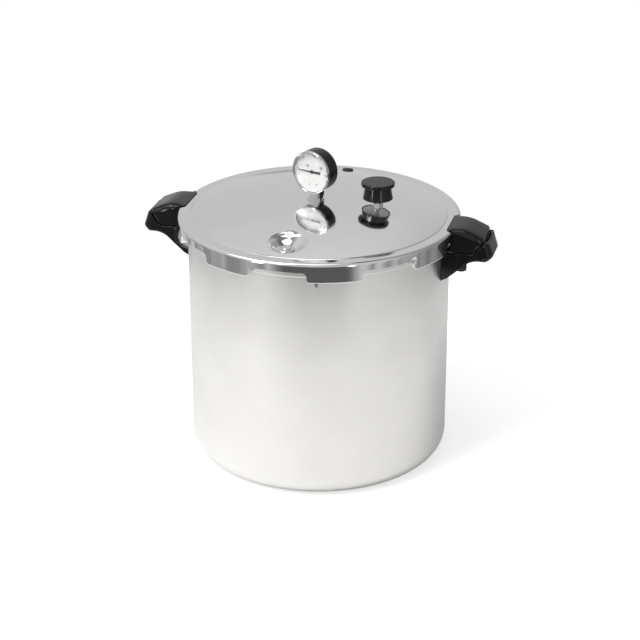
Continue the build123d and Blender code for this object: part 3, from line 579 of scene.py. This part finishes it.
# ---- handles, made on the +X side and turned for the other -------------------------------------------
lid_end = float(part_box("lid_handle_right")[1][0])
body_end = float(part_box("body_handle_right")[1][0])
handle_half = 26.5 * MM
SIDES = (("right", Matrix.Identity(4)), ("left", Matrix.Rotation(math.pi, 4, "Z")))


def seam(r, low=0.0):
    """Height of the handles' seam: level, then climbing as a cone outside seam_r. low is the gap under it."""
    return seam_z - low + np.maximum(0, r - seam_r - low) / seam_slope


def on_seam(low):
    """Moves outline points drawn on the seam at y = 0 to the cone's height at their own radius."""
    def place(x, y, z):
        near = np.abs(z - seam(x, low)) < 0.8 * MM
        return x, y, np.where(near, z + seam(np.hypot(x, y), low) - seam(x, low), z)
    return place


def hug(place, radius_at):
    """Wraps place so that points drawn inside the radius for their height end on it."""
    def both(x, y, z):
        x, y, z = place(x, y, z)
        edge_x = np.sqrt(np.maximum(radius_at(z) ** 2 - y ** 2, 0))
        return np.maximum(x, edge_x), y, z
    return both


inner_x = lid_r - 9.5 * MM
lid_corners = [
    (inner_x, flat_z + 1.3 * MM, 1.1 * MM), (lid_r + 10.5 * MM, flat_z + 2.9 * MM, 40 * MM),
    (lid_r + 33.5 * MM, flat_z - 7.4 * MM, 3 * MM), (lid_end - 0.4 * MM, seam(lid_end - 0.4 * MM), 0.8 * MM),
    (seam_r, seam_z, 3 * MM), (skirt_in - 4 * MM, seam_z), (skirt_in - 4 * MM, flat_z - 0.2 * MM),
    (inner_x, flat_z + 0.05 * MM, 0.3 * MM),
]
lid_outline = refine(rounded(lid_corners, 8), 2.0 * MM)


def lid_radius(z):
    """Outside of the skirt above the windows, inside of it through them, and nothing above the lid."""
    return np.where(z > flat_z, 0, np.where(z > window_top - 0.3 * MM, lid_r, skirt_in))


def top_weight(x, z):
    """The top's side edges are rounded most in the middle of their length, the seam's edges hardly at all."""
    along_top = np.clip(np.minimum((x - inner_x) / (17 * MM), (lid_end + 3 * MM - x) / (16 * MM)), 0.16, 1)
    return np.where(z > flat_z - 12 * MM, np.where(z > seam(x) + 6 * MM, along_top, 0.10), 0.08)


def lid_place(x, y, z):
    """Seam cone below, the lid's own radius inside, and rounded inner corners over the lid."""
    x, y, z = hug(on_seam(0.0), lid_radius)(x, y, z)
    radius = 4 * MM
    back = quarter(np.clip(handle_half - np.abs(y), 0, radius), radius)
    share = np.clip(1 - (x - inner_x) / (8 * MM), 0, 1)
    return np.where(z > flat_z - 0.01 * MM, x + back * share, x), y, z


lid_handle = slab(lid_outline, handle_half, 7.5 * MM, lid_place, (lid_end, 8 * MM), top_weight)
for side, turn in SIDES:
    handle = moved(lid_handle, turn)
    piece(f"lid_grip_{side}", handle, "black_phenolic", "lid", (f"lid_handle_{side}",), 40)

gap = 0.7 * MM
lip_x = lid_r + 38.2 * MM
arm_end = (lid_r + 20.1 * MM, seam_z - 9.1 * MM, 40 * MM)
under_corners = [
    (pot_r - 3 * MM, seam_z - 37 * MM), (pot_r + 5 * MM, seam_z - 33 * MM, 12 * MM),
    arm_end, (lid_r + 40.5 * MM, seam_z - 9.1 * MM, 5 * MM),
    (body_end - 0.2 * MM, seam_z - 4.0 * MM, 4 * MM), (lid_r + 39.8 * MM, seam_z + 12.3 * MM, 1.4 * MM),
    (lip_x, seam(lip_x, gap) + 0.3 * MM, 0.8 * MM), (seam_r + gap, seam_z - gap, 3 * MM),
]
reach = lid_r + 4.6 * MM
foot_corners = [
    (reach, seam_z - gap, 0.6 * MM), (reach, seam_z - 15 * MM), (reach - 2.3 * MM, seam_z - 21 * MM, 3 * MM),
    (lid_r - 3 * MM, seam_z - 24.6 * MM, 5 * MM), (pot_r - 4 * MM, seam_z - 29 * MM),
]
grip_outline = refine(rounded([*under_corners, *foot_corners], 8), 2.0 * MM)
cheek_outline = refine(rounded([
    *under_corners[:2], arm_end, (lid_r + 24 * MM, seam_z - gap), (pot_r - 3 * MM, seam_z - gap),
], 8), 2.0 * MM)


def under_weight(x, z):
    """The lower edges are rounded most at the end, less along the thin arm, and the seam's hardly at all."""
    lower = np.clip(0.4 + (x - reach - 2 * MM) / (20 * MM), 0.4, 1)
    return np.where(z > seam(x, gap) - 2 * MM, 0.2, lower)


def pot_radius(z):
    """The pot's wall."""
    return 0 * z + pot_r


grip_place = hug(on_seam(gap), pot_radius)
grip = slab(grip_outline, handle_half, 2.6 * MM, grip_place, (body_end, 11 * MM), under_weight)
cheek = slab(cheek_outline, (0.1 * MM - handle_half, 1.7 * MM - handle_half), 0.4 * MM, grip_place)
boss_low, boss_high = seam_z - 31.5 * MM, seam_z - 16 * MM
hole_r, boss_r = 4.4 * MM, 6.5 * MM
boss = lathe(rounded([
    (hole_r, boss_low, 0.4 * MM), (boss_r, boss_low, 1.2 * MM), (boss_r, boss_high), (hole_r, boss_high),
], 4), 40)
body_handle = join(grip, cheek, moved(boss, Matrix.Translation((reach + 0.2 * MM, 0, 0))))
for side, turn in SIDES:
    handle = moved(body_handle, turn)
    piece(f"body_grip_{side}", handle, "black_phenolic", "pot", (f"body_handle_{side}",), 34)

# ---- regulator ------------------------------------------------------------------------------------
cap_low, cap_high = (np.array(v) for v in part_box("regulator_cap"))
cap_x = float(cap_low[0] + cap_high[0]) / 2
cap_r = float(cap_high[0] - cap_low[0]) / 2
disc_low = float(cap_high[2]) - 4.6 * MM
cap_bottom = float(cap_low[2])
cap_profile = rounded([
    (0, cap_high[2]), (cap_r, cap_high[2], 1.3 * MM), (cap_r, disc_low, 0.7 * MM),
    (15.1 * MM, disc_low, 1.0 * MM), (17.8 * MM, cap_bottom, 0.6 * MM), (16.4 * MM, cap_bottom, 0.4 * MM),
    (13.7 * MM, disc_low - 0.2 * MM), (0, disc_low - 0.2 * MM),
], 6)
flute_count = 12
flute_r = 1.75 * MM
flute_at = 18.7 * MM


def flutes(r, z, a):
    """Half-round grooves in the skirt: the radius is at most that of a circle of flute_r, flute_at out."""
    off = ((a * flute_count / TURN) % 1 - 0.5) * TURN / flute_count
    across = flute_at * np.sin(off)
    groove = flute_at * np.cos(off) - np.sqrt(np.maximum(flute_r ** 2 - across ** 2, 0))
    on = (np.abs(across) < flute_r) & (r > 16.45 * MM) & (z < disc_low - 0.5 * MM)
    return np.where(on, np.minimum(r, groove), r), z, a


along = np.concatenate([[0], np.cumsum(np.linalg.norm(np.diff(cap_profile, axis=0), axis=1))])
fine = np.unique(np.concatenate([along, np.arange(0, along[-1], 1.5 * MM)]))
cap_loop = np.stack([np.interp(fine, along, column) for column in cap_profile.T], -1)
cap = moved(lathe(cap_loop, 288, flutes), Matrix.Translation((cap_x, 0, 0)))
piece("regulator_knob", cap, "black_phenolic", "regulator", ("regulator_cap",), 40)

# ---- gauge ------------------------------------------------------------------------------------------
bez_low, bez_high = (np.array(v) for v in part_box("gauge_bezel"))
stem_low, stem_high = (np.array(v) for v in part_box("gauge_stem_nut"))
gauge_at = (stem_low + stem_high) / 2
gauge_z = float(bez_low[2] + bez_high[2]) / 2
bezel_r = float(bez_high[2] - bez_low[2]) / 2
gauge_turn = math.radians(20.4)
GAUGE = Matrix((
    (math.cos(gauge_turn), 0, -math.sin(gauge_turn), gauge_at[0]),
    (-math.sin(gauge_turn), 0, -math.cos(gauge_turn), gauge_at[1]),
    (0, 1, 0, gauge_z),
    (0, 0, 0, 1),
))
case_r = bezel_r - 0.25 * MM
case_in = case_r - 0.8 * MM
case_back, case_front = -11 * MM, 7 * MM        # along the gauge's own axis, from the stem's middle
floor_at = case_back + 0.8 * MM
case = lathe(rounded([
    (0, case_back), (case_r, case_back, 2.2 * MM), (case_r, case_front, 0.3 * MM),
    (case_in, case_front, 0.2 * MM), (case_in, floor_at, 1 * MM), (0, floor_at),
], 6), 128)
neck_half = 6 * MM
neck_back, neck_front = -10.5 * MM, -0.4 * MM
neck_low = dome_top + 2.2 * MM - gauge_z
neck = slab(refine(rounded([
    (-neck_half, neck_back, 1.5 * MM), (neck_half, neck_back, 1.5 * MM),
    (neck_half, neck_front, 0.2 * MM), (-neck_half, neck_front, 0.2 * MM),
], 5), 3 * MM), (neck_low, -case_r + 2 * MM), 0.2 * MM)
piece("gauge_shell", moved(join(case, neck), GAUGE), "gauge_black", "lid", ("gauge_case",), 35)
dial_face = 5.6 * MM
lens_back, lens_front = 8.6 * MM, 10 * MM
ring_back, ring_front = 7.01 * MM, 11 * MM
ring_in = bezel_r - 1.6 * MM
lip_in = case_in - 0.05 * MM
seat_in = case_in - 0.8 * MM
bezel = lathe(rounded([
    (case_in, dial_face), (case_in, ring_back), (bezel_r, ring_back, 0.3 * MM),
    (bezel_r, ring_front, 0.9 * MM), (ring_in, ring_front, 0.5 * MM), (ring_in, lens_front),
    (lip_in, lens_front), (lip_in, lens_back), (seat_in, lens_back), (seat_in, dial_face),
], 6), 128)
piece("gauge_ring", moved(bezel, GAUGE), "bright_chrome", "lid", ("gauge_bezel",), 40)
lens_r = case_in - 0.1 * MM
lens = lathe(rounded([
    (0, lens_back), (lens_r, lens_back, 0.15 * MM), (lens_r, 9.95 * MM, 0.2 * MM), (0, lens_front),
], 3), 96)
piece("gauge_window", moved(lens, GAUGE), "clear_glass", "lid", ("gauge_lens",), 35)
dial_back = dial_face - 0.5 * MM
dial = lathe(rounded([
    (0, dial_back), (lens_r, dial_back), (lens_r, dial_face, 0.15 * MM), (0, dial_face),
], 3), 96)
piece("gauge_face", moved(dial, GAUGE), "dial_white", "lid", ("gauge_dial",), 35)


def printed(outline_list, low, thick):
    """Thin flat shapes: each closed outline of (x, y) points gets a face on top and a wall down to low."""
    out = []
    for pts in outline_list:
        n = len(pts)
        v = np.vstack([np.c_[pts, np.full(n, low)], np.c_[pts, np.full(n, low + thick)]])
        i = np.arange(n)
        j = (i + 1) % n
        faces = np.stack([i, j, j + n, i + n], -1).tolist()
        faces.append(list(range(n))[::-1])
        faces.append(list(range(n, 2 * n)))
        out.append((v, faces))
    return join(*out)


scale_zero = 174.0       # direction of the scale's zero, in degrees
unit_turn = 9.0          # degrees from each unit to the next, clockwise
tick_out = 23.0          # outer ends of the ticks, in millimetres
number_r = 18.7 * MM
ink_thick = 0.05 * MM


def ticks():
    """Scale from nine o'clock over the top: long ticks every 5, shorter ones between, and two dots below."""
    shapes = []
    for k in range(21):
        a = math.radians(scale_zero - unit_turn * k)
        start, width = (21.3, 0.4) if k % 5 == 0 else (22.1, 0.2)
        radial = np.array([math.cos(a), math.sin(a)])
        side = np.array([-math.sin(a), math.cos(a)]) * width / 2
        inner, outer = radial * start, radial * tick_out
        shapes.append(np.array([inner - side, outer - side, outer + side, inner + side]) * MM)
    turn = np.arange(16) * TURN / 16
    dot = np.stack([np.cos(turn), np.sin(turn)], -1) * 0.75
    for direction, out in ((-104, 16.0), (-70, 15.4)):
        a = math.radians(direction)
        shapes.append((dot + np.array([math.cos(a), math.sin(a)]) * out) * MM)
    return shapes


def numerals():
    """The scale's numbers, every 5, set level round the dial."""
    parts = []
    for k in range(0, 21, 5):
        curve = bpy.data.curves.new(f"numeral_{k}", "FONT")
        curve.body = str(k)
        curve.size = 4.4 * MM
        curve.align_x = "CENTER"
        curve.align_y = "CENTER"
        curve.extrude = 0.03 * MM
        curve.resolution_u = 4
        temp = bpy.data.objects.new(f"numeral_{k}", curve)
        mesh = bpy.data.meshes.new_from_object(temp)
        v = np.empty(len(mesh.vertices) * 3)
        mesh.vertices.foreach_get("co", v)
        a = math.radians(scale_zero - unit_turn * k)
        at = np.array([number_r * math.cos(a), number_r * math.sin(a), dial_face + curve.extrude])
        parts.append((v.reshape(-1, 3) + at, [list(p.vertices) for p in mesh.polygons]))
        bpy.data.objects.remove(temp)
        bpy.data.meshes.remove(mesh)
        bpy.data.curves.remove(curve)
    return join(*parts)


marks = join(printed(ticks(), dial_face, ink_thick), numerals())
piece("gauge_scale", moved(marks, GAUGE), "needle_black", "lid", (), 30)
pin_z = dial_face + 0.8 * MM
needle_half = [(-19.8, 0.18), (-1.2, 0.8), (3.0, 0.8), (3.5, 1.15), (11.0, 1.4)]     # in millimetres
needle_outline = np.array(needle_half + [(x, -y) for x, y in reversed(needle_half)]) * MM
pointer = printed([needle_outline], pin_z, 0.4 * MM)
hub_r = 2 * MM
hub_low, hub_high = pin_z - 0.2 * MM, pin_z + 0.9 * MM
hub = lathe(rounded([
    (0, hub_low), (hub_r, hub_low, 0.1 * MM), (hub_r, hub_high, 0.4 * MM), (0, hub_high),
], 4), 40)
piece("gauge_pointer", moved(join(pointer, hub), GAUGE), "needle_black", "needle", ("gauge_needle",), 30)

# ---- CAD pieces that are shown as they are: finish and softened edges ---------------------------------
SHARP = ("gauge_sector_gear", "gauge_pinion", "gauge_dial_screws", "pot_body", "lid_shell")
shown_as_cad = [sp for sp in record["subparts"] if not nodes[sp["node"]].hide_render]
for sp in shown_as_cad:
    obj = nodes[sp["node"]]
    obj.data.materials.clear()
    obj.data.materials.append(finishes[sp["material_slot"]])
    if sp["node"] in SHARP:
        continue
    bevel = obj.modifiers.new("edges", "BEVEL")
    bevel.width = 0.35 * MM
    bevel.segments = 2
    bevel.limit_method = "ANGLE"
    bevel.angle_limit = math.radians(40)


# ---- stage, lamps and camera ------------------------------------------------------------------------
def stage_material(name, colour, own):
    """White floor: it takes shadow, and adds own light for camera rays, so its lit part is pure white."""
    mat = bpy.data.materials.new(name)
    mat.use_nodes = True
    tree = mat.node_tree
    tree.nodes.remove(tree.nodes["Principled BSDF"])
    diffuse = node(tree, "ShaderNodeBsdfDiffuse", {"Color": (*colour, 1)})
    seen = node(tree, "ShaderNodeLightPath").outputs["Is Camera Ray"]
    strength = maths(tree, "MULTIPLY", seen, own)
    lit = node(tree, "ShaderNodeEmission", {"Color": (1, 1, 1, 1), "Strength": strength})
    both = node(tree, "ShaderNodeAddShader", {0: diffuse.outputs[0], 1: lit.outputs[0]})
    tree.links.new(both.outputs[0], tree.nodes["Material Output"].inputs["Surface"])
    return mat


def floor():
    """Round pale table top under the object, flat at z = 0."""
    count = 96
    angles = np.arange(count) * TURN / count
    ring = np.stack([np.cos(angles), np.sin(angles), 0 * angles], -1)
    radii = np.array([0.2, 0.35, 0.5, 0.63])
    v = np.vstack([(ring[None] * radii[:, None, None]).reshape(-1, 3), [0, 0, 0]])
    faces = grid_faces(len(radii), count)[:, ::-1].tolist()
    j = np.arange(count)
    faces += np.stack([np.full(count, len(v) - 1), j, (j + 1) % count], -1).tolist()
    mesh = bpy.data.meshes.new("table_top")
    mesh.from_pydata(v.tolist(), [], faces)
    mesh.materials.append(stage_material("table_white", (0.90, 0.90, 0.90), 0.50))
    obj = bpy.data.objects.new("table_top", mesh)
    bpy.context.collection.objects.link(obj)


def lamp(name, at, size, power, target=(0, 0, 0.2)):
    """Soft rectangular lamp facing target."""
    data = bpy.data.lights.new(name, "AREA")
    data.shape = "RECTANGLE"
    data.size, data.size_y = size
    data.energy = power
    obj = bpy.data.objects.new(name, data)
    bpy.context.collection.objects.link(obj)
    obj.location = at
    obj.rotation_euler = (Vector(target) - Vector(at)).to_track_quat("-Z", "Y").to_euler()


def sky_ramp(tree, height, *stops):
    """Grey level by height of the direction, from (position, level) pairs."""
    ramp = node(tree, "ShaderNodeValToRGB", {0: height})
    while len(ramp.color_ramp.elements) < len(stops):
        ramp.color_ramp.elements.new(0.5)
    for element, (at, level) in zip(ramp.color_ramp.elements, stops):
        element.position = at
        element.color = (level, level, level, 1)
    return ramp.outputs[0]


def toward(tree, flat, degrees):
    """Cosine of the angle between a level direction and the one at degrees round Z."""
    a = math.radians(degrees)
    inputs = {0: flat, 1: (math.cos(a), math.sin(a), 0)}
    return node(tree, "ShaderNodeVectorMath", inputs, operation="DOT_PRODUCT").outputs["Value"]


def studio():
    """World: white to the camera. To other rays a soft grey room, dark below the table's edge in front.

    The room is dimmer at the back on the right, and under the horizon it has soft upright streaks."""
    world = bpy.data.worlds.new("studio")
    scene.world = world
    world.use_nodes = True
    tree = world.node_tree
    background = tree.nodes["Background"]
    direction = node(tree, "ShaderNodeTexCoord").outputs["Generated"]
    height = maths(tree, "MULTIPLY_ADD", split(tree, direction)[2], 0.5, 0.5)
    flat = node(tree, "ShaderNodeVectorMath", {0: direction, 1: (1, 1, 0)}, operation="MULTIPLY").outputs[0]
    flat = node(tree, "ShaderNodeVectorMath", {0: flat}, operation="NORMALIZE").outputs[0]
    front = ramped(tree, toward(tree, flat, -78.5), 0.80, 0.90)
    lit = ramped(tree, toward(tree, flat, 215), -1.0, -0.52, 0.48, 1.04)
    streak = ramped(tree, noise(tree, flat, 5.5, 2.0, 0.6), 0.38, 0.58, 0.45, 1.0)
    below = ramped(tree, height, 0.46, 0.49, 1.0, 0.0)
    streaked = node(tree, "ShaderNodeMix", {0: below, 2: 1.0, 3: streak}).outputs[0]
    level = maths(tree, "MULTIPLY", lit, streaked)
    dim = node(tree, "ShaderNodeCombineColor", {0: level, 1: level, 2: level}).outputs[0]
    around = sky_ramp(
        tree, height, (0.0, 0.50), (0.48, 0.62), (0.51, 0.60), (0.72, 0.60), (0.83, 0.66), (0.89, 0.72),
        (0.92, 0.60), (0.96, 0.30),
    )
    ahead = sky_ramp(
        tree, height, (0.0, 0.08), (0.46, 0.12), (0.50, 0.42), (0.60, 0.60), (0.90, 0.56), (0.95, 0.35),
        (1.0, 0.30),
    )
    room = mixed(tree, front, mixed(tree, 1.0, around, dim, "MULTIPLY"), ahead)
    seen = node(tree, "ShaderNodeLightPath").outputs["Is Camera Ray"]
    tree.links.new(mixed(tree, seen, room, (1, 1, 1, 1)), background.inputs["Color"])
    background.inputs["Strength"].default_value = 1.0


def camera():
    """Camera 14.5 degrees round and 23.85 degrees up, 2.387 m from a point inside the pot, long lens."""
    azimuth, elevation, distance = math.radians(14.5), math.radians(23.85), 2.387
    level = math.cos(elevation)
    back = Vector((math.sin(azimuth) * level, -math.cos(azimuth) * level, math.sin(elevation)))
    right = Vector((math.cos(azimuth), math.sin(azimuth), 0))
    up = back.cross(right)
    data = bpy.data.cameras.new("camera")
    data.sensor_width = 36.0
    focal = 3.0714          # focal length over the sensor's width
    data.lens = data.sensor_width * focal
    anchor = Vector((0, 0, 0.15245))
    target = anchor + right * 0.00121 + up * 0.00789
    eye = target + back * distance
    obj = bpy.data.objects.new("camera", data)
    bpy.context.collection.objects.link(obj)
    obj.matrix_world = Matrix((
        (right.x, up.x, back.x, eye.x),
        (right.y, up.y, back.y, eye.y),
        (right.z, up.z, back.z, eye.z),
        (0, 0, 0, 1),
    ))
    scene.camera = obj


floor()
studio()
lamp("key", (-0.88, -1.25, 2.3), (0.90, 0.90), 29)
lamp("left_box", (-0.95, -0.75, 1.55), (0.80, 0.90), 4)
lamp("top_box", (-0.15, -0.35, 2.7), (1.4, 1.3), 8)
lamp("strip_left", (-1.15, -1.85, 0.16), (0.30, 0.45), 2.6, (0.07, 0, 0.33))
lamp("strip_right", (1.40, -1.75, 0.16), (0.16, 0.45), 1.4, (0.07, 0, 0.33))
camera()
scene.view_settings.view_transform = "Standard"
